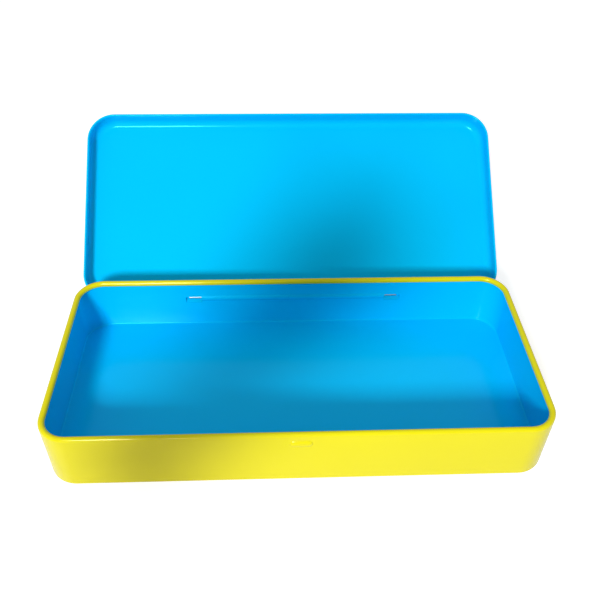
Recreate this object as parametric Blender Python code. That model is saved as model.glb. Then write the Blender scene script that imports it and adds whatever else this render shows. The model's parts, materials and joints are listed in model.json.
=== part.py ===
"""Hinged tinplate pencil case: a drawn tray, a drawn slip-over lid and the hinge wire.

Metres, +Z up. The origin is the centre of the tray's flat bottom, +X runs along the
length and +Y points to the hinged back. The lid is modelled shut, with its origin on
the hinge axis, and is then swung open on that axis until it meets its stop.
"""
import math

import bmesh
import bpy
from mathutils import Vector

MM = 0.001

# Sheet metal and the tray
SHEET = 0.3 * MM
TRAY_LENGTH = 200.0 * MM
TRAY_WIDTH = 92.0 * MM
TRAY_HEIGHT = 28.2 * MM
CORNER_RADIUS = 12.0 * MM
FLOOR_BEND = 0.7 * MM           # inside radius between the floor and the walls
RIM_CURL = 2.6 * MM             # outside diameter of the rim, which curls inwards
RIM_CURL_TURN = 295.0           # degrees that the rim's sheet turns through

# The lid, which slips over the outside of the tray
LID_CLEARANCE = 0.3 * MM        # between the lid's hem and the tray's sides and back
SWING_CLEARANCE = 0.2 * MM      # left at the front, where the hem swings in as the lid lifts
LID_HEADROOM = 0.8 * MM         # between the lid's panel and the tray's rim
LID_DEPTH = 10.9 * MM           # outside height of the lid's skirt
LID_BEND = 3.5 * MM             # inside radius between the panel and the skirt
HEM_THICKNESS = 1.0 * MM        # the skirt's edge, folded inwards and back up
HEM_HEIGHT = 2.0 * MM

# The hinge
OPEN_ANGLE = 141.0              # degrees from shut to the stop
AXIS_BELOW_HEM = 2.2 * MM
WIRE_DIAMETER = 1.2 * MM
WIRE_CHAMFER = 0.2 * MM
PIN_CLEARANCE = 0.2 * MM        # round the wire, inside the knuckle and the pockets
KNUCKLE_PROUD = 0.4 * MM        # how far the knuckle bulges out past the skirt
KNUCKLE_SEAM = 0.4 * MM         # gap where the knuckle's curl comes round to its flap
KNUCKLE_END_GAP = 0.4 * MM
GROOVE_CLEARANCE = 0.3 * MM
POCKET_SPACING = 95.6 * MM      # centre to centre of the tray's two hinge pockets
POCKET_LENGTH = 8.0 * MM
POCKET_TAPER = 1.5 * MM         # domed outer end of a pocket
STOP_GAP = 0.3 * MM             # between the hem and the pockets when the lid is open

# The catch, a small bump pressed out of the tray's front
CATCH_LENGTH = 9.0 * MM
CATCH_HEIGHT = 3.4 * MM
CATCH_PROUD = 0.8 * MM
CATCH_TAPER = 2.2 * MM          # domed end of the bump
CATCH_BELOW_RIM = 5.1 * MM

# Fineness of the mesh, and a step that keeps joined or cut faces from lying in one plane
CORNER_STEPS = 8
BEND_STEPS = 5
CURL_STEPS = 16
ARC_STEP = 15.0
TAPER_STEPS = 4
DOME_TURN = 80.0
SMOOTH_ANGLE = 30.0
STEP = 0.02 * MM

# Places that follow from the sizes
half_length = TRAY_LENGTH / 2
half_width = TRAY_WIDTH / 2
lid_overhang = LID_CLEARANCE + HEM_THICKNESS
lid_top = TRAY_HEIGHT + LID_HEADROOM + SHEET
hem_bottom = lid_top - LID_DEPTH
pin_hole = WIRE_DIAMETER / 2 + PIN_CLEARANCE
knuckle_radius = pin_hole + SHEET
axis_out = lid_overhang + KNUCKLE_PROUD - knuckle_radius
hinge_axis = Vector((0.0, half_width + axis_out, hem_bottom - AXIS_BELOW_HEM))
groove_radius = knuckle_radius + GROOVE_CLEARANCE
bead_radius = groove_radius + SHEET
front_reach = TRAY_WIDTH + axis_out
front_lift = TRAY_HEIGHT - RIM_CURL / 2 - hem_bottom
front_swing = front_lift * (front_lift / 2 + AXIS_BELOW_HEM) / front_reach
front_clearance = front_swing + SWING_CLEARANCE
lid_half_width = half_width + HEM_THICKNESS + (LID_CLEARANCE + front_clearance) / 2
lid_centre = (LID_CLEARANCE - front_clearance) / 2
pocket_start = (POCKET_SPACING - POCKET_LENGTH) / 2
pocket_end = (POCKET_SPACING + POCKET_LENGTH) / 2
ORIGIN = Vector((0.0, 0.0, 0.0))
OUTSIDE, INSIDE = 0, 1


def lacquer(name, colour, roughness, metallic):
    """A plain Principled material for one finish."""
    material = bpy.data.materials.new(name)
    material.use_nodes = True
    shader = material.node_tree.nodes["Principled BSDF"]
    shader.inputs["Base Color"].default_value = (*colour, 1.0)
    shader.inputs["Roughness"].default_value = roughness
    shader.inputs["Metallic"].default_value = metallic
    return material


def arc(centre, radius, start, end, steps):
    """Points on an arc, with angles in degrees turning from the first axis to the second."""
    points = []
    for index in range(steps + 1):
        angle = math.radians(start + (end - start) * index / steps)
        points.append((centre[0] + radius * math.cos(angle), centre[1] + radius * math.sin(angle)))
    return points


def fine_arc(centre, radius, start, end):
    """An arc with about one point for each ARC_STEP degrees."""
    return arc(centre, radius, start, end, max(2, round(abs(end - start) / ARC_STEP)))


def rounded_rectangle(half_x, half_y, radius, height, centre_y):
    """A ring of points round a rectangle with round corners, at one height."""
    ring = []
    for corner, (side_x, side_y) in enumerate(((1, 1), (-1, 1), (-1, -1), (1, -1))):
        centre = (side_x * (half_x - radius), centre_y + side_y * (half_y - radius))
        for x, y in arc(centre, radius, 90 * corner, 90 * corner + 90, CORNER_STEPS):
            ring.append(Vector((x, y, height)))
    return ring


def solid_from_rings(name, rings, finishes, pivot, materials):
    """Join rings of points into a closed solid, with a flat face on the first and last."""
    mesh = bpy.data.meshes.new(name)
    shape = bmesh.new()
    loops = [[shape.verts.new(point - pivot) for point in ring] for ring in rings]
    first = shape.faces.new(loops[0])
    first.material_index = finishes[0]
    for lower, upper, finish in zip(loops, loops[1:], finishes):
        for index in range(len(lower)):
            after = (index + 1) % len(lower)
            face = shape.faces.new((lower[index], lower[after], upper[after], upper[index]))
            face.material_index = finish
    last = shape.faces.new(loops[-1])
    last.material_index = finishes[-1]
    bmesh.ops.recalc_face_normals(shape, faces=shape.faces)
    shape.to_mesh(mesh)
    shape.free()
    mesh.shade_smooth()
    mesh.set_sharp_from_angle(angle=math.radians(SMOOTH_ANGLE))
    solid = bpy.data.objects.new(name, mesh)
    solid.location = pivot
    bpy.context.collection.objects.link(solid)
    for material in materials:
        mesh.materials.append(material)
    return solid


def pressed_shell(name, half_x, half_y, radius, profile, turn_back, pivot, materials, centre_y=0.0):
    """A drawn shell. The profile's points are (distance in from the edge, height), and
    the sheet turns from its outside to its inside at the point numbered turn_back."""
    rings = []
    for inset, height in profile:
        ring = rounded_rectangle(half_x - inset, half_y - inset, radius - inset, height, centre_y)
        rings.append(ring)
    finishes = [OUTSIDE if index < turn_back else INSIDE for index in range(len(rings))]
    return solid_from_rings(name, rings, finishes, pivot, materials)


def run_along_x(name, profile, stations, finish, pivot, materials, middle=(0.0, 0.0)):
    """A solid with one (y, z) profile along X. Each station is (x, scale), and a station's
    profile is scaled about the middle."""
    rings = []
    for x, scale in stations:
        ring = []
        for y, z in profile:
            shrunk_y = middle[0] + (y - middle[0]) * scale
            shrunk_z = middle[1] + (z - middle[1]) * scale
            ring.append(Vector((x, shrunk_y, shrunk_z)))
        rings.append(ring)
    return solid_from_rings(name, rings, [finish] * len(rings), pivot, materials)


def combine(solid, tool, operation):
    """Join a hidden tool to a solid, or cut it out, with a Boolean that stays live."""
    tool.hide_render = True
    tool.display_type = "WIRE"
    modifier = solid.modifiers.new(tool.name, "BOOLEAN")
    modifier.object = tool
    modifier.operation = operation
    modifier.solver = "EXACT"


def about_axis(points):
    """Move (y, z) points measured from the hinge axis to the object's frame."""
    return [(hinge_axis.y + y, hinge_axis.z + z) for y, z in points]


def domed_stations(start, end, taper):
    """Stations that keep full size from start and round off over the taper at the end."""
    side = 1 if end > start else -1
    stations = [(start, 1.0), (end - side * taper, 1.0)]
    for index in range(1, TAPER_STEPS + 1):
        turn = math.radians(DOME_TURN * index / TAPER_STEPS)
        stations.append((end - side * taper * (1 - math.sin(turn)), math.cos(turn)))
    return stations


def tray_profile():
    """Underside, outer bend, wall, the rim's curl inwards, and back down the inside."""
    bend = FLOOR_BEND + SHEET
    curl = RIM_CURL / 2
    rim = (curl, TRAY_HEIGHT - curl)
    outside = arc((bend, bend), bend, 270, 180, BEND_STEPS)
    outside += arc(rim, curl, 180, 180 - RIM_CURL_TURN, CURL_STEPS)
    inside = arc(rim, curl - SHEET, 180 - RIM_CURL_TURN, 180, CURL_STEPS)
    inside += arc((bend, bend), FLOOR_BEND, 180, 270, BEND_STEPS)
    return outside + inside, len(outside)


def lid_profile():
    """Panel, bend, skirt, the hem folded in and back up, and back along the inside."""
    bend = LID_BEND + SHEET
    fold = HEM_THICKNESS / 2
    fold_centre = (fold, hem_bottom + fold)
    hem_top = hem_bottom + HEM_HEIGHT
    outside = arc((bend, lid_top - bend), bend, 90, 180, BEND_STEPS)
    outside += arc(fold_centre, fold, 180, 360, 2 * BEND_STEPS)
    outside.append((HEM_THICKNESS, hem_top))
    inside = [(HEM_THICKNESS - SHEET, hem_top)]
    inside += arc(fold_centre, fold - SHEET, 360, 180, 2 * BEND_STEPS)
    inside += arc((bend, lid_top - bend), LID_BEND, 180, 90, BEND_STEPS)
    return outside + inside, len(outside)


def pocket_profile(radius, stop_distance, back):
    """A hood round the wire: an arc over it, a straight drop, and a slope back to the wall.
    The slope faces the hem of the open lid and is stop_distance from the axis."""
    turn = math.radians(OPEN_ANGLE)
    reach = (math.sin(turn), math.cos(turn))

    def slope_height(y):
        return (stop_distance - reach[0] * y) / reach[1]

    wall = -axis_out
    root = max(back, wall)
    start = math.degrees(math.acos(root / radius))
    points = fine_arc((0.0, 0.0), radius, start, 0)
    points.append((radius, slope_height(radius)))
    points.append((root, slope_height(root)))
    if back < root:
        points.append((back, slope_height(root)))
        points.insert(0, (back, points[0][1]))
    return about_axis(points)


def add_hinge_groove(tray, materials):
    """A bead pressed into the back wall, where the lid's knuckle lies between the pockets."""
    in_wall = -axis_out - SHEET / 2
    edge = math.degrees(math.acos(in_wall / bead_radius))
    bead_end = pocket_start + SHEET
    ridge = run_along_x(
        "hinge_bead", about_axis(fine_arc((0.0, 0.0), bead_radius, edge, 360 - edge)),
        [(-bead_end, 1.0), (bead_end, 1.0)], INSIDE, ORIGIN, materials)
    combine(tray, ridge, "UNION")
    groove_end = pocket_start - STEP
    cut = run_along_x(
        "hinge_groove", about_axis(fine_arc((0.0, 0.0), groove_radius, 0, 360)[:-1]),
        [(-groove_end, 1.0), (groove_end, 1.0)], OUTSIDE, ORIGIN, materials)
    combine(tray, cut, "DIFFERENCE")


def add_hinge_pockets(tray, materials):
    """Two hoods pressed out of the back wall, each open towards the middle for the wire."""
    stop = AXIS_BELOW_HEM - STOP_GAP
    in_wall = -axis_out - SHEET / 2
    inside_tray = -(bead_radius + SHEET)
    hood = pocket_profile(knuckle_radius, stop, in_wall)
    hollow = pocket_profile(pin_hole, stop - SHEET, inside_tray)
    middle = (half_width, hinge_axis.z)
    for side, word in ((-1, "left"), (1, "right")):
        stations = domed_stations(side * pocket_start, side * pocket_end, POCKET_TAPER)
        outer = run_along_x("hinge_pocket_" + word, hood, stations, OUTSIDE, ORIGIN, materials, middle)
        combine(tray, outer, "UNION")
        opening = side * (pocket_start - 2 * STEP)
        stations = domed_stations(opening, side * (pocket_end - SHEET), POCKET_TAPER)
        inner = run_along_x("pocket_hollow_" + word, hollow, stations, INSIDE, ORIGIN, materials, middle)
        combine(tray, inner, "DIFFERENCE")


def add_catch(tray, materials):
    """The bump that the lid's front hem snaps over."""
    half_height = CATCH_HEIGHT / 2
    radius = (half_height ** 2 + CATCH_PROUD ** 2) / (2 * CATCH_PROUD)
    centre = (-half_width - CATCH_PROUD + radius, TRAY_HEIGHT - CATCH_BELOW_RIM)
    half_catch = CATCH_LENGTH / 2
    for name, size, root, finish, operation in (
            ("catch_bump", radius, -half_width + SHEET / 2, OUTSIDE, "UNION"),
            ("catch_hollow", radius - SHEET, -half_width + 2 * SHEET, INSIDE, "DIFFERENCE")):
        spread = math.degrees(math.acos((centre[0] - root) / size))
        profile = fine_arc(centre, size, 180 - spread, 180 + spread)
        end = half_catch - (radius - size)
        right = domed_stations(0.0, end, CATCH_TAPER)[1:]
        left = [(-x, scale) for x, scale in reversed(right)]
        tool = run_along_x(name, profile, left + right, finish, ORIGIN, materials, (root, centre[1]))
        combine(tray, tool, operation)


def add_knuckle(lid, materials):
    """The middle of the lid's back edge: no hem, but a flap curled round the wire."""
    knuckle_end = pocket_start - KNUCKLE_END_GAP
    flap_out = knuckle_radius - KNUCKLE_PROUD
    flap_in = flap_out - SHEET
    above = AXIS_BELOW_HEM + HEM_HEIGHT
    clear = [(flap_in + STEP - HEM_THICKNESS, -AXIS_BELOW_HEM), (flap_in + STEP, -AXIS_BELOW_HEM),
             (flap_in + STEP, above + SHEET), (flap_in + STEP - HEM_THICKNESS, above + SHEET)]
    notch = run_along_x(
        "hem_notch", about_axis(clear),
        [(-pocket_start, 1.0), (pocket_start, 1.0)], INSIDE, hinge_axis, materials)
    combine(lid, notch, "DIFFERENCE")
    outer_start = math.degrees(math.acos((flap_out - STEP) / knuckle_radius))
    inner_start = math.degrees(math.acos((flap_in + STEP) / pin_hole))
    seam = math.degrees(KNUCKLE_SEAM / pin_hole)
    curl_end = inner_start + seam - 360
    profile = [(flap_out - STEP, above)]
    profile += fine_arc((0.0, 0.0), knuckle_radius, outer_start, curl_end)
    profile += fine_arc((0.0, 0.0), pin_hole, curl_end, inner_start)
    profile.append((flap_in + STEP, above))
    curl = run_along_x(
        "hinge_knuckle", about_axis(profile),
        [(-knuckle_end, 1.0), (knuckle_end, 1.0)], OUTSIDE, hinge_axis, materials)
    combine(lid, curl, "UNION")
    return notch, curl


def build_tray(yellow, blue):
    """The tray, yellow outside and blue inside, with its hinge pockets and catch."""
    profile, turn_back = tray_profile()
    finishes = (yellow, blue)
    tray = pressed_shell(
        "tray", half_length, half_width, CORNER_RADIUS, profile, turn_back, ORIGIN, finishes)
    add_hinge_groove(tray, finishes)
    add_hinge_pockets(tray, finishes)
    add_catch(tray, finishes)
    return tray


def build_lid(blue):
    """The lid, blue on both sides, swung open about the hinge axis."""
    profile, turn_back = lid_profile()
    finishes = (blue, blue)
    lid = pressed_shell(
        "lid", half_length + lid_overhang, lid_half_width, CORNER_RADIUS + lid_overhang,
        profile, turn_back, hinge_axis, finishes, lid_centre)
    for solid in (lid, *add_knuckle(lid, finishes)):
        solid.rotation_euler.x = -math.radians(OPEN_ANGLE)
    return lid


def build_hinge_wire(steel):
    """The wire through the knuckle, with its chamfered ends sprung into the pockets."""
    radius = WIRE_DIAMETER / 2
    end = pocket_end - POCKET_TAPER - SHEET
    tip = (radius - WIRE_CHAMFER) / radius
    stations = [(-end, tip), (WIRE_CHAMFER - end, 1.0), (end - WIRE_CHAMFER, 1.0), (end, tip)]
    profile = about_axis(fine_arc((0.0, 0.0), radius, 0, 360)[:-1])
    middle = (hinge_axis.y, hinge_axis.z)
    return run_along_x("hinge_wire", profile, stations, OUTSIDE, hinge_axis, (steel,), middle)


def main():
    for leftover in list(bpy.data.objects):
        bpy.data.objects.remove(leftover)
    yellow = lacquer("yellow_lacquer", (0.91, 0.78, 0.02), 0.25, 0.0)
    blue = lacquer("blue_lacquer", (0.0, 0.42, 0.88), 0.25, 0.0)
    steel = lacquer("bright_steel_wire", (0.62, 0.62, 0.64), 0.3, 1.0)
    build_tray(yellow, blue)
    build_lid(blue)
    build_hinge_wire(steel)


main()
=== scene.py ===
# %% [markdown]
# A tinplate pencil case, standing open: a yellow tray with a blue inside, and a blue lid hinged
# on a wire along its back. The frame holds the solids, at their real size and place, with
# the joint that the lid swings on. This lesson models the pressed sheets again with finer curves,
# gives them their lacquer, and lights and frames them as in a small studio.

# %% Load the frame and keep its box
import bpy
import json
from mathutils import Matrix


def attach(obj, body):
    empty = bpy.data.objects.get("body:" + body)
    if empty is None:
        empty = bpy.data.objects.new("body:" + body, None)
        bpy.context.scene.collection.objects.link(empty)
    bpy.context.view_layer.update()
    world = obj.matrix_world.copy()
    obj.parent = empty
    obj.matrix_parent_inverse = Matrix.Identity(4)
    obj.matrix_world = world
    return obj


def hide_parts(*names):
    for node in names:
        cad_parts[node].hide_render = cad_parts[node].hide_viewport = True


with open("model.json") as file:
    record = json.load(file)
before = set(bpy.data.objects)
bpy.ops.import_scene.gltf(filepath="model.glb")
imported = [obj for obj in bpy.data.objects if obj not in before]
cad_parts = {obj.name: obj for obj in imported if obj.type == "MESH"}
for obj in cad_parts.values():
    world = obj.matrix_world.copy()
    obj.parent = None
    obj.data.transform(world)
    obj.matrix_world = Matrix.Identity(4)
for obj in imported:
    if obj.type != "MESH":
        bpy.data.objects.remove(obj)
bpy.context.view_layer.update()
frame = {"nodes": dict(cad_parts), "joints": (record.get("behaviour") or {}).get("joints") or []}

import json
import math

import bmesh
import bpy
from mathutils import Matrix, Vector

MM = 0.001

# %% [markdown]
# Both shells are drawn from tinplate 0.3 mm thick, and each of their sizes is one that a press tool
# would have: a wall, a bend, a curl, a clearance. They are the sizes of the frame's own solids, so
# that the finer shells lie in the same place, with a few small roundings added. Those that both
# shells need come first, with a very small step that stands for "just past" where faces or points
# are told apart. The hinge axis comes from the frame's joint.

# %% Sizes of the sheet and the place of the hinge
SHEET = 0.3 * MM
HALF_LENGTH = 100.0 * MM
HALF_WIDTH = 46.0 * MM
CORNER = 12.0 * MM
STEP = 0.02 * MM

joint = frame["joints"][0]
AXIS = Vector(joint["pos_m"])
OPEN_TURN = math.radians(joint["range_deg"][1])
print("hinge axis in mm:", [round(value / MM, 2) for value in AXIS])
print("turn from open to shut, in degrees:", joint["range_deg"][1])

# %% [markdown]
# A colour is easiest to talk about as the hex value that a screen shows, but a shader works with
# linear light, so one function turns one into the other. Nodes are many and alike, so one small
# function adds a node, sets its settings, and fills each socket with a value or with a link.

# %% Colour, node and pattern helpers
def linear(hex_colour):
    """An sRGB hex colour as linear RGBA."""
    channels = []
    for index in (1, 3, 5):
        level = int(hex_colour[index:index + 2], 16) / 255
        channels.append(level / 12.92 if level <= 0.04045 else ((level + 0.055) / 1.055) ** 2.4)
    return (*channels, 1.0)


def add_node(tree, kind, sockets, **settings):
    """A node with its settings, and with each named socket given a value or a link."""
    node = tree.nodes.new(kind)
    for name, value in settings.items():
        setattr(node, name, value)
    for name, value in sockets.items():
        if isinstance(value, bpy.types.NodeSocket):
            tree.links.new(value, node.inputs[name])
        else:
            node.inputs[name].default_value = value
    return node


def per_size(millimetres):
    """The texture scale at which one feature of a pattern is this long."""
    return 1 / (millimetres * MM)


print("a screen's middle grey in linear light:", round(linear("#808080")[0], 3))

# %% [markdown]
# The colour is a stoving lacquer, rolled on the flat sheet before it is pressed, with a clear
# varnish over it. It gives the eye a saturated colour with a soft, slightly wavy gloss. It could
# be one flat colour, but the film is a little thicker in some places, so its tone drifts, over
# about 4 cm. It flows out with a fine orange peel, drawn here at 1.5 mm, and the drawn sheet
# itself is never quite flat, which a second, much longer wave in the bump shows. Its highlights
# look coloured more than white, so the gloss has a tint.

# %% Stoved lacquer on tinplate
TONE_SIZE = 40.0
GLOSS_SIZE = 4.0
PEEL_SIZE = 1.5
PEEL_HEIGHT = 0.0006 * MM
SHEET_WAVE_SIZE = 34.0
SHEET_WAVE_HEIGHT = 0.04 * MM
HAZE_LOW = 0.3
HAZE_HIGH = 0.7
LACQUER_GLOSS = (0.15, 0.19)
LACQUER_IOR = 1.5
# A Mix node has sockets of the same name for each type of data, so those for colours go by number.
MIX_FACTOR = 0
MIX_FIRST = 6
MIX_SECOND = 7
MIX_RESULT = 2


def stoved_lacquer(name, hex_thin, hex_full, hex_gloss):
    """Lacquer between its tone where thin and where full, with the tint of its gloss."""
    material = bpy.data.materials.new(name)
    material.use_nodes = True
    tree = material.node_tree
    shader = tree.nodes["Principled BSDF"]
    place = add_node(tree, "ShaderNodeTexCoord", {}).outputs["Object"]
    drift = add_node(tree, "ShaderNodeTexNoise", {
        "Vector": place, "Scale": per_size(TONE_SIZE), "Detail": 1.0})
    tone = add_node(tree, "ShaderNodeMix", {
        MIX_FACTOR: drift.outputs["Fac"], MIX_FIRST: linear(hex_thin),
        MIX_SECOND: linear(hex_full)}, data_type="RGBA")
    haze = add_node(tree, "ShaderNodeTexNoise", {
        "Vector": place, "Scale": per_size(GLOSS_SIZE), "Detail": 2.0})
    dull = add_node(tree, "ShaderNodeMapRange", {
        "Value": haze.outputs["Fac"], "From Min": HAZE_LOW, "From Max": HAZE_HIGH,
        "To Min": LACQUER_GLOSS[0], "To Max": LACQUER_GLOSS[1]})
    wave = add_node(tree, "ShaderNodeTexNoise", {
        "Vector": place, "Scale": per_size(SHEET_WAVE_SIZE), "Detail": 0.0})
    wavy = add_node(tree, "ShaderNodeBump", {
        "Height": wave.outputs["Fac"], "Distance": SHEET_WAVE_HEIGHT})
    peel = add_node(tree, "ShaderNodeTexNoise", {
        "Vector": place, "Scale": per_size(PEEL_SIZE), "Detail": 1.0})
    peeled = add_node(tree, "ShaderNodeBump", {
        "Height": peel.outputs["Fac"], "Distance": PEEL_HEIGHT, "Normal": wavy.outputs["Normal"]})
    tree.links.new(tone.outputs[MIX_RESULT], shader.inputs["Base Color"])
    tree.links.new(dull.outputs["Result"], shader.inputs["Roughness"])
    tree.links.new(peeled.outputs["Normal"], shader.inputs["Normal"])
    shader.inputs["IOR"].default_value = LACQUER_IOR
    shader.inputs["Specular Tint"].default_value = linear(hex_gloss)
    return material


yellow = stoved_lacquer("yellow_stoved_lacquer", "#DDD400", "#D9CF00", "#FFF4C0")
blue = stoved_lacquer("blue_stoved_lacquer", "#00C2FA", "#00BEF7", "#3CC0FF")
print("lacquers:", yellow.name, blue.name)

# %% [markdown]
# The hinge pin is drawn steel wire. Drawing through a die leaves fine lines along it, which give
# the eye a streaky grey shine. A cylinder with plain metal would look like glass tube, so its
# roughness and bump are stretched along X, the wire's own length. The lines are drawn 0.15 mm
# apart, coarser than real ones, so that they show at all.

# %% Drawn steel wire
LINE_SIZE = 0.15
LINE_HEIGHT = 0.004 * MM
LINE_STRETCH = (0.01, 1.0, 1.0)
STEEL_GLOSS = (0.30, 0.48)


def drawn_steel(name, hex_colour):
    """Bright steel with fine lines along X."""
    material = bpy.data.materials.new(name)
    material.use_nodes = True
    tree = material.node_tree
    shader = tree.nodes["Principled BSDF"]
    place = add_node(tree, "ShaderNodeTexCoord", {}).outputs["Object"]
    along = add_node(tree, "ShaderNodeMapping", {"Vector": place, "Scale": LINE_STRETCH})
    lines = add_node(tree, "ShaderNodeTexNoise", {
        "Vector": along.outputs["Vector"], "Scale": per_size(LINE_SIZE), "Detail": 2.0})
    dull = add_node(tree, "ShaderNodeMapRange", {
        "Value": lines.outputs["Fac"], "To Min": STEEL_GLOSS[0], "To Max": STEEL_GLOSS[1]})
    scored = add_node(tree, "ShaderNodeBump", {
        "Height": lines.outputs["Fac"], "Distance": LINE_HEIGHT})
    tree.links.new(dull.outputs["Result"], shader.inputs["Roughness"])
    tree.links.new(scored.outputs["Normal"], shader.inputs["Normal"])
    shader.inputs["Base Color"].default_value = linear(hex_colour)
    shader.inputs["Metallic"].default_value = 1.0
    return material


steel = drawn_steel("drawn_steel_wire", "#A6A9AC")
print("wire:", steel.name)

# %% [markdown]
# A drawn shell is one section of bent sheet carried round a rectangle with round corners. It
# could be a box with bevelled edges, but the rim's curl and the lid's hem would be hard to add.
# So the section is drawn as a wire, point by point: straight legs are extruded and bends are
# spun. Without a window, Blender's spin and rotate turn the other way, so their angles have the
# opposite sign in this lesson.

# %% Drawing a section
CURL_STEP = 9.0


def start_wire(name, y, z):
    """A piece that is a single point: a small plane, merged to its middle."""
    bpy.ops.object.select_all(action="DESELECT")
    bpy.ops.mesh.primitive_plane_add(size=MM, location=(0, y, z))
    piece = bpy.context.object
    piece.name = name
    bpy.ops.object.transform_apply(location=True, rotation=True, scale=True)
    bpy.ops.object.mode_set(mode="EDIT")
    bpy.ops.mesh.select_mode(type="VERT")
    bpy.ops.mesh.select_all(action="SELECT")
    bpy.ops.mesh.merge(type="CENTER")
    return piece


def draw_leg(y, z):
    """Draw the wire on, straight, by this much."""
    bpy.ops.mesh.extrude_vertices_move(TRANSFORM_OT_translate={"value": (0, y, z)})


def draw_bend(y, z, degrees):
    """Draw the wire on round a point, turning from +Y to +Z."""
    steps = max(2, round(abs(degrees) / CURL_STEP))
    bpy.ops.mesh.spin(steps=steps, angle=-math.radians(degrees), center=(0, y, z), axis=(1, 0, 0))


print("steps in a quarter bend:", round(90 / CURL_STEP))

# %% [markdown]
# The drawn wire is then extruded along one wall, spun round the corner and extruded along the next,
# which makes a quarter of the shell, and two mirrors make the rest. A panel could be extruded with
# the walls, but it is one flat face, so its edge is selected and filled instead.

# %% Carrying the section round
CORNER_STEPS = 20
RUN_STEP = 4.0 * MM
MERGE = 0.002 * MM


def run(x, y):
    """Carry the section along a wall in even steps."""
    steps = max(1, round(math.hypot(x, y) / RUN_STEP))
    for _ in range(steps):
        bpy.ops.mesh.extrude_region_move(
            TRANSFORM_OT_translate={"value": (x / steps, y / steps, 0)})


def select_where(piece, test):
    """In edit mode, select only the points whose place passes a test."""
    bpy.ops.mesh.select_all(action="DESELECT")
    shape = bmesh.from_edit_mesh(piece.data)
    for point in shape.verts:
        point.select = test(point.co)
    shape.select_flush(True)
    bmesh.update_edit_mesh(piece.data)


def apply_modifier(piece, kind, **settings):
    """Add a modifier with its settings and apply it."""
    bpy.ops.object.select_all(action="DESELECT")
    piece.select_set(True)
    bpy.context.view_layer.objects.active = piece
    modifier = piece.modifiers.new(kind.lower(), kind)
    for name, value in settings.items():
        setattr(modifier, name, value)
    bpy.ops.object.modifier_apply(modifier=modifier.name)


def shell_from_section(piece, half_x, half_y, radius, flat_height):
    """Carry the wire round a quarter, mirror it and close the flat panel."""
    middle_x = half_x - radius
    middle_y = half_y - radius
    bpy.ops.mesh.select_all(action="SELECT")
    run(middle_x, 0)
    bpy.ops.mesh.spin(
        steps=CORNER_STEPS, angle=-math.pi / 2, center=(middle_x, -middle_y, 0), axis=(0, 0, 1))
    run(0, middle_y)
    bpy.ops.object.mode_set(mode="OBJECT")
    apply_modifier(piece, "MIRROR", use_axis=(True, True, False), merge_threshold=MERGE)
    bpy.ops.object.mode_set(mode="EDIT")
    bpy.ops.mesh.select_all(action="SELECT")
    bpy.ops.mesh.remove_doubles(threshold=MERGE)

    def on_panel_edge(place):
        inside = abs(place.x) < middle_x + STEP and abs(place.y) < middle_y + STEP
        return inside and abs(place.z - flat_height) < STEP

    select_where(piece, on_panel_edge)
    bpy.ops.mesh.edge_face_add()
    bpy.ops.mesh.select_all(action="SELECT")
    bpy.ops.mesh.normals_make_consistent(inside=False)
    bpy.ops.object.mode_set(mode="OBJECT")


print("steps round a corner:", CORNER_STEPS)

# %% [markdown]
# The tray's section starts on the floor, bends up into the wall and ends in the rim, where the
# sheet is curled inwards so that its raw edge is hidden. The curl shows as a round yellow rim
# 2.6 mm thick, because the yellow outside of the sheet goes with it. A Solidify modifier gives
# the sheet its thickness on the inner side, and its material offset makes that side blue.

# %% Tray shell
TRAY_HEIGHT = 28.2 * MM
FLOOR_BEND = 1.0 * MM
RIM_RADIUS = 1.3 * MM
RIM_TURN = 295.0
OUTSIDE = 0
INSIDE = 1


def add_tray():
    """The drawn tray, without its pressed hinge and catch."""
    inner_y = -(HALF_WIDTH - CORNER)
    tray = start_wire("drawn_tray", inner_y, 0.0)
    draw_leg(-(CORNER - FLOOR_BEND), 0)
    draw_bend(-HALF_WIDTH + FLOOR_BEND, FLOOR_BEND, -90)
    draw_leg(0, TRAY_HEIGHT - FLOOR_BEND - RIM_RADIUS)
    draw_bend(-HALF_WIDTH + RIM_RADIUS, TRAY_HEIGHT - RIM_RADIUS, -RIM_TURN)
    shell_from_section(tray, HALF_LENGTH, HALF_WIDTH, CORNER, 0.0)
    for finish in (yellow, blue):
        tray.data.materials.append(finish)
    apply_modifier(
        tray, "SOLIDIFY", thickness=SHEET, offset=-1.0, use_even_offset=True,
        material_offset=INSIDE)
    return tray


tray = add_tray()
print("tray shell:", len(tray.data.polygons), "faces")
print("tray shell in mm:", [round(size / MM, 2) for size in tray.dimensions])

# %% [markdown]
# The lid is drawn the other way up: its section starts on the panel, bends down into a short
# skirt, and is folded inwards and back up as a hem, so that its edge is safe to touch. It is
# modelled shut, in the middle of the frame, and moved to its place later.

# %% Lid shell
LID_OVERHANG = 1.3 * MM
LID_HALF_WIDTH = 47.546 * MM
LID_CENTRE = -0.246 * MM
LID_TOP = 29.3 * MM
LID_DEPTH = 10.9 * MM
LID_BEND = 3.8 * MM
HEM = 1.0 * MM
HEM_HEIGHT = 2.0 * MM


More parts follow.
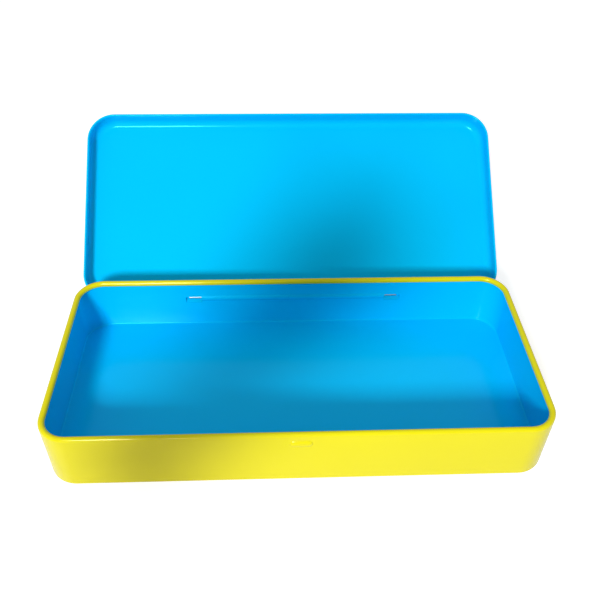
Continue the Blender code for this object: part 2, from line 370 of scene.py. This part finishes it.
def add_lid():
    """The drawn lid, shut, without its hinge knuckle."""
    half_x = HALF_LENGTH + LID_OVERHANG
    radius = CORNER + LID_OVERHANG
    edge = -LID_HALF_WIDTH
    fold = HEM / 2
    lid = start_wire("drawn_lid", edge + radius, LID_TOP)
    draw_leg(-(radius - LID_BEND), 0)
    draw_bend(edge + LID_BEND, LID_TOP - LID_BEND, 90)
    draw_leg(0, -(LID_DEPTH - LID_BEND - fold))
    draw_bend(edge + fold, LID_TOP - LID_DEPTH + fold, 180)
    draw_leg(0, HEM_HEIGHT - fold)
    shell_from_section(lid, half_x, LID_HALF_WIDTH, radius, LID_TOP)
    lid.data.materials.append(blue)
    apply_modifier(lid, "SOLIDIFY", thickness=SHEET, offset=-1.0, use_even_offset=True)
    bpy.ops.object.mode_set(mode="EDIT")
    bpy.ops.mesh.select_all(action="SELECT")
    bpy.ops.transform.translate(value=(0, LID_CENTRE, 0))
    bpy.ops.object.mode_set(mode="OBJECT")
    return lid


lid = add_lid()
print("lid shell:", len(lid.data.polygons), "faces")
print("lid shell in mm:", [round(size / MM, 2) for size in lid.dimensions])

# %% [markdown]
# Everything else on the two sheets is pressed or folded out of them: a bead and two hooded pockets
# for the hinge in the tray's back wall, a catch bump in its front wall, and a knuckle curled from
# the lid's back edge. Sculpting the wall would blur these small shapes, so each is modelled as a
# solid of its real size, and a Boolean joins it to the sheet or cuts it out. A tool's faces carry
# the finish of the side that they will be on.

# %% Helpers for the pressing tools
ROUND_STEPS = 64


def press(shell, tool, operation, finish):
    """Join a tool to a shell, or cut it out, with one of the shell's finishes on the new faces."""
    for material in shell.data.materials:
        tool.data.materials.append(material)
    for face in tool.data.polygons:
        face.material_index = finish
    apply_modifier(shell, "BOOLEAN", object=tool, operation=operation, solver="EXACT")
    bpy.data.objects.remove(tool)


def placed(name):
    """The primitive that was just added, named, with its place and size put into its mesh."""
    piece = bpy.context.object
    piece.name = name
    bpy.ops.object.transform_apply(location=True, rotation=True, scale=True)
    return piece


def round_bar(name, radius, half, y, z):
    """A bar along X."""
    bpy.ops.object.select_all(action="DESELECT")
    bpy.ops.mesh.primitive_cylinder_add(
        vertices=ROUND_STEPS, radius=radius, depth=2 * half, location=(0, y, z),
        rotation=(0, math.pi / 2, 0))
    return placed(name)


def block(name, low, high):
    """A block between two corners."""
    low, high = Vector(low), Vector(high)
    bpy.ops.object.select_all(action="DESELECT")
    bpy.ops.mesh.primitive_cube_add(size=1, location=(low + high) / 2, scale=high - low)
    return placed(name)


def clip_behind(piece, y):
    """Cut a piece off behind a plane across Y, and close the cut."""
    bpy.ops.object.mode_set(mode="EDIT")
    bpy.ops.mesh.select_all(action="SELECT")
    bpy.ops.mesh.bisect(plane_co=(0, y, 0), plane_no=(0, 1, 0), use_fill=True, clear_outer=True)
    bpy.ops.object.mode_set(mode="OBJECT")


def carry_along_x(half):
    """Carry the drawn section along X, as far on either side of the middle."""
    bpy.ops.mesh.select_all(action="SELECT")
    bpy.ops.transform.translate(value=(-half, 0, 0))
    bpy.ops.mesh.extrude_region_move(TRANSFORM_OT_translate={"value": (2 * half, 0, 0)})
    bpy.ops.mesh.select_all(action="SELECT")
    bpy.ops.mesh.normals_make_consistent(inside=False)
    bpy.ops.object.mode_set(mode="OBJECT")


print("steps round a tool:", ROUND_STEPS)

# %% [markdown]
# The lid's knuckle turns close to the tray, so a groove is pressed into the back wall for it to
# lie in. From inside it is a bead, and the sheet runs into it with a small fillet, which is what
# catches the light. The fillet touches both the wall and the bead, and that gives its centre. The
# bead's solid is joined to the wall, and the groove is then cut into it from outside.

# %% Hinge bead in the back wall
GROOVE_RADIUS = 1.4 * MM
POCKET_START = 43.8 * MM
FILLET = 0.6 * MM
inner_wall = HALF_WIDTH - SHEET + STEP
bead_radius = GROOVE_RADIUS + SHEET
fillet_in = AXIS.y - inner_wall + FILLET
fillet_up = math.sqrt((bead_radius + FILLET) ** 2 - fillet_in ** 2)
fillet_turn = math.degrees(math.atan2(fillet_up, fillet_in))

bead = start_wire("hinge_bead", inner_wall + SHEET / 2, AXIS.z + fillet_up)
draw_leg(-SHEET / 2, 0)
draw_bend(inner_wall - FILLET, AXIS.z + fillet_up, -fillet_turn)
draw_bend(AXIS.y, AXIS.z, 2 * fillet_turn)
draw_bend(inner_wall - FILLET, AXIS.z - fillet_up, -fillet_turn)
draw_leg(SHEET / 2, 0)
bpy.ops.mesh.select_all(action="SELECT")
bpy.ops.mesh.edge_face_add()
carry_along_x(POCKET_START + SHEET)
press(tray, bead, "UNION", INSIDE)
groove = round_bar("hinge_groove", GROOVE_RADIUS, POCKET_START - STEP, AXIS.y, AXIS.z)
press(tray, groove, "DIFFERENCE", OUTSIDE)
print("hinge bead:", round(2 * fillet_up / MM, 2), "mm high on the inside")

# %% [markdown]
# Each end of the hinge wire sits in a pocket, a hood lanced and pressed out of the back wall. Its
# underside slopes, and the hem of the open lid comes to rest against it. A hood is a block with
# its lower front edge lifted to that slope and its outer edges rounded. The hollow is a smaller
# block of the same kind, cut through from inside, where it shows as a short dark slot.

# %% Hinge pockets in the back wall
WIRE_ROOM = 0.8 * MM
KNUCKLE_RADIUS = 1.1 * MM
POCKET_END = 51.8 * MM
STOP_DISTANCE = 1.9 * MM
POCKET_ROUND = 0.9 * MM
POCKET_ROUND_SHARE = 0.9
POCKET_ROUND_STEPS = 6


def slope_height(y, stop):
    """Height of the pocket's underside, which lies along the open lid's hem."""
    return AXIS.z + (stop - math.sin(OPEN_TURN) * (y - AXIS.y)) / math.cos(OPEN_TURN)


def pocket_block(name, side, ends, back, size, stop):
    """A block between two distances from the middle, with its underside on the slope."""
    front = AXIS.y + size
    top = AXIS.z + size
    root = max(back, HALF_WIDTH)
    low = slope_height(root, stop)
    near, far = (side * end for end in ends)
    piece = block(name, (min(near, far), back, low), (max(near, far), front, top))
    bpy.ops.object.mode_set(mode="EDIT")
    select_where(piece, lambda place: place.y > front - STEP and place.z < low + STEP)
    bpy.ops.transform.translate(value=(0, 0, slope_height(front, stop) - low))
    if back < root:
        # Inside the wall the underside stays level, and the slope starts at the wall's face.
        bpy.ops.mesh.select_all(action="SELECT")
        bpy.ops.mesh.bisect(plane_co=(0, root, 0), plane_no=(0, 1, 0))
        select_where(piece, lambda place: abs(place.y - root) < STEP and place.z < top - STEP)
        shape = bmesh.from_edit_mesh(piece.data)
        drop = low - min(point.co.z for point in shape.verts if point.select)
        bpy.ops.transform.translate(value=(0, 0, drop))

    def on_outer_edge(place):
        at_front = place.y > front - STEP
        at_far = abs(place.x - far) < STEP
        at_top = place.z > top - STEP
        return at_front and (at_top or at_far) or at_far and at_top

    select_where(piece, on_outer_edge)
    edge_round = min(POCKET_ROUND, size * POCKET_ROUND_SHARE)
    bpy.ops.mesh.bevel(offset=edge_round, segments=POCKET_ROUND_STEPS, affect="EDGES")
    bpy.ops.object.mode_set(mode="OBJECT")
    return piece


for side, word in ((-1, "left"), (1, "right")):
    hood = pocket_block(
        "hinge_pocket_" + word, side, (POCKET_START, POCKET_END), HALF_WIDTH - SHEET / 2,
        KNUCKLE_RADIUS, STOP_DISTANCE)
    press(tray, hood, "UNION", OUTSIDE)
    hollow = pocket_block(
        "pocket_hollow_" + word, side, (POCKET_START - 2 * STEP, POCKET_END - SHEET),
        AXIS.y - bead_radius - SHEET, WIRE_ROOM, STOP_DISTANCE - SHEET)
    press(tray, hollow, "DIFFERENCE", INSIDE)
print("tray with its hinge:", len(tray.data.polygons), "faces")

# %% [markdown]
# The catch is a small bump pressed out of the middle of the front wall, which the lid's front hem
# snaps over. It is a slice off a round bar with domed ends: the bar's radius follows from the
# bump's height and how far it stands proud. The same slice, one sheet smaller, is cut out behind.

# %% Catch bump in the front wall
CATCH_LENGTH = 9.0 * MM
CATCH_HEIGHT = 3.4 * MM
CATCH_PROUD = 0.8 * MM
CATCH_BELOW_RIM = 5.1 * MM
DOME_RINGS = 32
catch_radius = ((CATCH_HEIGHT / 2) ** 2 + CATCH_PROUD ** 2) / (2 * CATCH_PROUD)
catch_straight = (CATCH_LENGTH - CATCH_HEIGHT) / 2
catch_y = -HALF_WIDTH - CATCH_PROUD + catch_radius
catch_z = TRAY_HEIGHT - CATCH_BELOW_RIM


def domed_bar(name, radius):
    """A bar along X with half balls for ends: a ball whose two halves are drawn apart."""
    bpy.ops.object.select_all(action="DESELECT")
    bpy.ops.mesh.primitive_uv_sphere_add(
        segments=ROUND_STEPS, ring_count=DOME_RINGS, radius=radius,
        location=(0, catch_y, catch_z), rotation=(0, math.pi / 2, 0))
    piece = placed(name)
    bpy.ops.object.mode_set(mode="EDIT")
    for side in (-1, 1):
        select_where(piece, lambda place: side * place.x > STEP)
        bpy.ops.transform.translate(value=(side * catch_straight, 0, 0))
    bpy.ops.object.mode_set(mode="OBJECT")
    return piece


bump = domed_bar("catch_bump", catch_radius)
clip_behind(bump, -HALF_WIDTH + SHEET / 2)
press(tray, bump, "UNION", OUTSIDE)
dimple = domed_bar("catch_dimple", catch_radius - SHEET)
clip_behind(dimple, -HALF_WIDTH + 2 * SHEET)
press(tray, dimple, "DIFFERENCE", INSIDE)
print("tray with its catch:", len(tray.data.polygons), "faces")

# %% [markdown]
# Along the middle of its back edge the lid has no hem. There the sheet runs on as a flap, which is
# curled round the wire to make the knuckle. The hem is cut away first. The flap's section is
# drawn as a wire, with one straight leg and one long bend, carried along X and given thickness.

# %% Hinge knuckle on the lid
KNUCKLE_HALF = 43.4 * MM
FLAP_OUT = 0.7 * MM
FLAP_TOP = 4.2 * MM
NOTCH_BELOW = 2.2 * MM
KNUCKLE_SEAM = 0.4 * MM
flap_face = FLAP_OUT - STEP
notch_face = FLAP_OUT - SHEET + STEP
notch = block(
    "hem_notch", (-POCKET_START, AXIS.y + notch_face - HEM, AXIS.z - NOTCH_BELOW),
    (POCKET_START, AXIS.y + notch_face, AXIS.z + FLAP_TOP + SHEET))
press(lid, notch, "DIFFERENCE", OUTSIDE)

curl_start = math.degrees(math.acos(flap_face / KNUCKLE_RADIUS))
curl_end = math.degrees(math.acos(notch_face / WIRE_ROOM) + KNUCKLE_SEAM / WIRE_ROOM) - 360
curl_top = math.sqrt(KNUCKLE_RADIUS ** 2 - flap_face ** 2)
knuckle = start_wire("hinge_knuckle", AXIS.y + flap_face, AXIS.z + FLAP_TOP)
draw_leg(0, curl_top - FLAP_TOP)
draw_bend(AXIS.y, AXIS.z, curl_end - curl_start)
carry_along_x(KNUCKLE_HALF)
apply_modifier(knuckle, "SOLIDIFY", thickness=SHEET, offset=-1.0, use_even_offset=True)
press(lid, knuckle, "UNION", OUTSIDE)
print("lid with its knuckle:", len(lid.data.polygons), "faces")

# %% [markdown]
# The lid is modelled shut and is now turned about the hinge axis to where the frame holds it, at
# the joint's rest. Curved faces are then shaded smooth and folds sharper than 30 degrees stay
# crisp. Each shell rides on its own body and stands for the plain solid there.

# %% Open the lid and put both shells on their bodies
SMOOTH_ANGLE = math.radians(30)
bpy.ops.object.select_all(action="DESELECT")
bpy.context.view_layer.objects.active = lid
bpy.ops.object.mode_set(mode="EDIT")
bpy.ops.mesh.select_all(action="SELECT")
bpy.ops.transform.rotate(value=OPEN_TURN, orient_axis="X", center_override=AXIS)
bpy.ops.object.mode_set(mode="OBJECT")
for piece in (tray, lid):
    bpy.ops.object.select_all(action="DESELECT")
    piece.select_set(True)
    bpy.context.view_layer.objects.active = piece
    bpy.ops.object.shade_smooth_by_angle(angle=SMOOTH_ANGLE)

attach(tray, "tray")
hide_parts("tray")
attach(lid, "lid")
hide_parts("lid")
wire = frame["nodes"]["hinge_wire"]
wire.data.materials.clear()
wire.data.materials.append(steel)
print("riding:", tray.name, "and", wire.name, "on the tray,", lid.name, "on the lid")

# %% [markdown]
# The studio is a sheet of white paper that runs away from the case on all sides and curves up into
# a backdrop. It could be a flat plane, but from low down its far edge would show. So it is a disc
# with its rim pulled up and the fold rounded by a bevel.

# %% Paper sweep
SWEEP_RADIUS = 2.5
SWEEP_HEIGHT = 1.6
SWEEP_FOLD = 0.6
SWEEP_STEPS = 96
SWEEP_FOLD_STEPS = 12
SWEEP_BELOW = 0.1 * MM

bpy.ops.object.select_all(action="DESELECT")
bpy.ops.mesh.primitive_circle_add(
    vertices=SWEEP_STEPS, radius=SWEEP_RADIUS, fill_type="NGON", location=(0, 0, -SWEEP_BELOW))
sweep = placed("paper_sweep")
bpy.ops.object.mode_set(mode="EDIT")
bpy.ops.mesh.select_mode(type="EDGE")
bpy.ops.mesh.select_all(action="SELECT")
bpy.ops.mesh.region_to_loop()
bpy.ops.mesh.extrude_region_move(TRANSFORM_OT_translate={"value": (0, 0, SWEEP_HEIGHT)})
bpy.ops.mesh.select_mode(type="VERT")
select_where(sweep, lambda place: place.z < STEP)
bpy.ops.mesh.bevel(offset=SWEEP_FOLD, segments=SWEEP_FOLD_STEPS, affect="EDGES")
bpy.ops.object.mode_set(mode="OBJECT")
bpy.ops.object.shade_smooth()
print("paper sweep:", len(sweep.data.polygons), "faces")

# %% [markdown]
# The paper is uncoated, so it is quite matt, and it sends back about two thirds of the light. By
# itself that would look pale grey. More light would make it white, but it would bleach the case
# too. So the paper glows a little, and the Light Path node lets only the camera and the gloss see
# that, so the case's matt colour gets no extra light. A faint shadow of the case still shows.

# %% Matt white paper
WHITE = "#FFFFFF"
PAPER_TONE = "#D6D6D4"
PAPER_GLOW = 0.65
MIRROR_GLOW = 0.3
MATT = 0.9
paper = bpy.data.materials.new("matt_white_paper")
paper.use_nodes = True
tree = paper.node_tree
sheet = tree.nodes["Principled BSDF"]
sheet.inputs["Base Color"].default_value = linear(PAPER_TONE)
sheet.inputs["Roughness"].default_value = MATT
sheet.inputs["Specular IOR Level"].default_value = 0.0
rays = add_node(tree, "ShaderNodeLightPath", {}).outputs
mirrored = add_node(tree, "ShaderNodeMath", {
    0: rays["Is Glossy Ray"], 1: rays["Is Transmission Ray"]}, operation="MAXIMUM")
in_gloss = add_node(tree, "ShaderNodeMath", {
    0: mirrored.outputs[0], 1: MIRROR_GLOW}, operation="MULTIPLY")
glow = add_node(tree, "ShaderNodeMath", {
    0: rays["Is Camera Ray"], 1: PAPER_GLOW, 2: in_gloss.outputs[0]}, operation="MULTIPLY_ADD")
sheet.inputs["Emission Color"].default_value = linear(WHITE)
tree.links.new(glow.outputs[0], sheet.inputs["Emission Strength"])
sweep.data.materials.append(paper)
print("paper:", paper.name)

# %% [markdown]
# The walls and the ceiling of a studio send light back from all sides, and that fills the shadows.
# Large lamps all round could do it, but each would show in the gloss. A plain white world gives an
# even fill. It is a little over half of white, so that fill and lamp together show a colour about
# as it is written.

# %% World
WORLD_LIGHT = 0.55
world = bpy.data.worlds.new("studio_ceiling")
bpy.context.scene.world = world
world.use_nodes = True
ceiling = world.node_tree.nodes["Background"]
ceiling.inputs["Color"].default_value = linear(WHITE)
ceiling.inputs["Strength"].default_value = WORLD_LIGHT
print("world:", world.name, "at", WORLD_LIGHT)

# %% [markdown]
# One soft lamp lights the case from in front, 16 degrees to the left and 30.5 degrees up. That makes
# the right wall light and the left one dark, and lays the front wall's shadow along the floor. A
# sun lamp would give hard edges and a wide softbox hardly any, so it is an area lamp 12 cm square
# at 90 cm, whose shadows are a little soft.

# %% Key lamp
MIDDLE = Vector((0, 30, 20)) * MM
KEY_LEFT = math.radians(16)
KEY_UP = math.radians(30.5)
KEY_DISTANCE = 900 * MM
KEY_SIZE = 120 * MM
KEY_WATTS = 7.3
key_level = Vector((-math.sin(KEY_LEFT), -math.cos(KEY_LEFT), 0))
key_way = math.cos(KEY_UP) * key_level + Vector((0, 0, math.sin(KEY_UP)))
softbox = bpy.data.lights.new("key_softbox", "AREA")
softbox.shape = "SQUARE"
softbox.size = KEY_SIZE
softbox.energy = KEY_WATTS
key = bpy.data.objects.new("key_softbox", softbox)
key.location = MIDDLE + KEY_DISTANCE * key_way
key.rotation_euler = key_way.to_track_quat("Z", "Y").to_euler()
key.visible_camera = False
bpy.context.collection.objects.link(key)
print("key lamp:", KEY_WATTS, "W")

# %% [markdown]
# A soft dark strip runs up over the front wall's left, the floor, the back wall and the middle of
# the lid. It could be painted into the lacquer, but then it would stay there in any other light. A
# photographer makes such a strip with a flag, a piece of black felt between the lamp and the
# object. The flag here is a plane that faces the lamp and that the camera doesn't see. It is
# narrower at its foot, where the strip is fainter.

# %% Black flag
FLAG_WIDTH = 44 * MM
FLAG_FOOT_SHARE = 0.55
FLAG_HEAD = Vector((-49, -207, 198)) * MM
FLAG_FOOT = Vector((-106, -207, 113)) * MM
FELT_TONE = "#101214"
felt = bpy.data.materials.new("black_felt")
felt.use_nodes = True
nap = felt.node_tree.nodes["Principled BSDF"]
nap.inputs["Base Color"].default_value = linear(FELT_TONE)
nap.inputs["Roughness"].default_value = MATT

along = FLAG_HEAD - FLAG_FOOT
side = along.cross(key_way).normalized()
turn = Matrix((side, key_way.cross(side), key_way)).transposed()
bpy.ops.object.select_all(action="DESELECT")
bpy.ops.mesh.primitive_plane_add(
    size=1, location=(FLAG_HEAD + FLAG_FOOT) / 2, rotation=turn.to_euler())
bpy.context.object.scale = (FLAG_WIDTH, along.length, 1)
flag = placed("key_flag")
bpy.ops.object.mode_set(mode="EDIT")
select_where(flag, lambda place: (place - FLAG_FOOT).length < (place - FLAG_HEAD).length)
bpy.ops.transform.resize(value=[FLAG_FOOT_SHARE] * 3, center_override=FLAG_FOOT)
bpy.ops.object.mode_set(mode="OBJECT")
flag.visible_camera = False
flag.data.materials.append(felt)
print("flag:", round(along.length / MM), "mm long")

# %% [markdown]
# The camera stands where a pinhole camera has to stand for the tray's and the lid's edges to fall
# where the photo shows them. Its focal length was found with its place, in pixels of a frame 600
# wide, and is turned here into millimetres on a common sensor. It looks down by its pitch, a
# little to one side by its yaw, and is held a little askew by its roll.

# %% Camera
PIXELS = 600
FOCAL_PIXELS = 699.9
SENSOR = 36.0
CLIP_START = 10 * MM
CAMERA_PLACE = (-10.033 * MM, -206.861 * MM, 239.812 * MM)
CAMERA_PITCH = 41.742
CAMERA_YAW = 3.01
CAMERA_ROLL = 1.172
lens = bpy.data.cameras.new("photo_camera")
lens.sensor_fit = "HORIZONTAL"
lens.sensor_width = SENSOR
lens.lens = SENSOR * FOCAL_PIXELS / PIXELS
lens.clip_start = CLIP_START
camera = bpy.data.objects.new("photo_camera", lens)
aim = Matrix.Rotation(-math.radians(CAMERA_YAW), 4, "Z")
tilt = Matrix.Rotation(math.radians(90 - CAMERA_PITCH), 4, "X")
roll = Matrix.Rotation(math.radians(CAMERA_ROLL), 4, "Z")
camera.matrix_world = Matrix.Translation(CAMERA_PLACE) @ aim @ tilt @ roll
bpy.context.collection.objects.link(camera)
bpy.context.scene.camera = camera
bpy.context.scene.view_settings.view_transform = "Standard"
print("camera:", round(lens.lens, 1), "mm lens")
